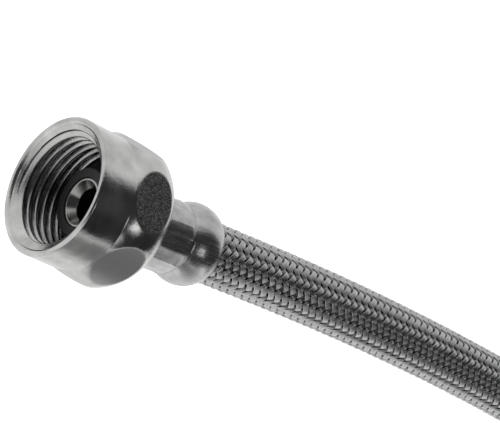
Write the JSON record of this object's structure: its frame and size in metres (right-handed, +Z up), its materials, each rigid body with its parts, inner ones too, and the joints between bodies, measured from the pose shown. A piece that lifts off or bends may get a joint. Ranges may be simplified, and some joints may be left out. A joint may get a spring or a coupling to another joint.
{
  "type": "braided supply line",
  "caption": "Flexible braided hose that carries water from a stop valve to a tank, with a free-turning threaded nut, rubber cone washer and crimped ferrule at each end.",
  "frame": {"origin": "on the ballcock nut's axis, where its thread starts, 1.2 mm inside its mouth; the surface that the line lies on is 13.4 mm below it", "axes": "+X from the ballcock nut's mouth into its fitting and along the hose, +Z up"},
  "size_m": [0.305, 0.0292, 0.0268],
  "materials": {
    "nut_metal": "nickel plated brass, polished and lightly worn",
    "ferrule_steel": "bright stainless steel sheet, crimped",
    "nipple_metal": "turned and plated brass",
    "washer_rubber": "moulded black rubber",
    "tube_rubber": "extruded black rubber",
    "braid_steel": "woven bright stainless steel wire"
  },
  "bodies": {
    "hose": {"ballcock_washer": "washer_rubber", "ballcock_nipple": "nipple_metal", "ballcock_ferrule": "ferrule_steel", "inner_tube": "tube_rubber", "braid_sleeve": "braid_steel", "valve_ferrule": "ferrule_steel", "valve_nipple": "nipple_metal", "valve_washer": "washer_rubber"},
    "ballcock_nut": {"ballcock_nut": "nut_metal"},
    "valve_nut": {"valve_nut": "nut_metal"}
  },
  "joints": [
    {"name": "ballcock_nut_turn", "type": "hinge", "parent": "hose", "child": "ballcock_nut", "pos_m": [0.017, 0, 0], "axis": [1, 0, 0], "continuous": true},
    {"name": "valve_nut_turn", "type": "hinge", "parent": "hose", "child": "valve_nut", "pos_m": [0.2913, -0.004, -0.00465], "axis": [1, 0, 0], "continuous": true}
  ]
}
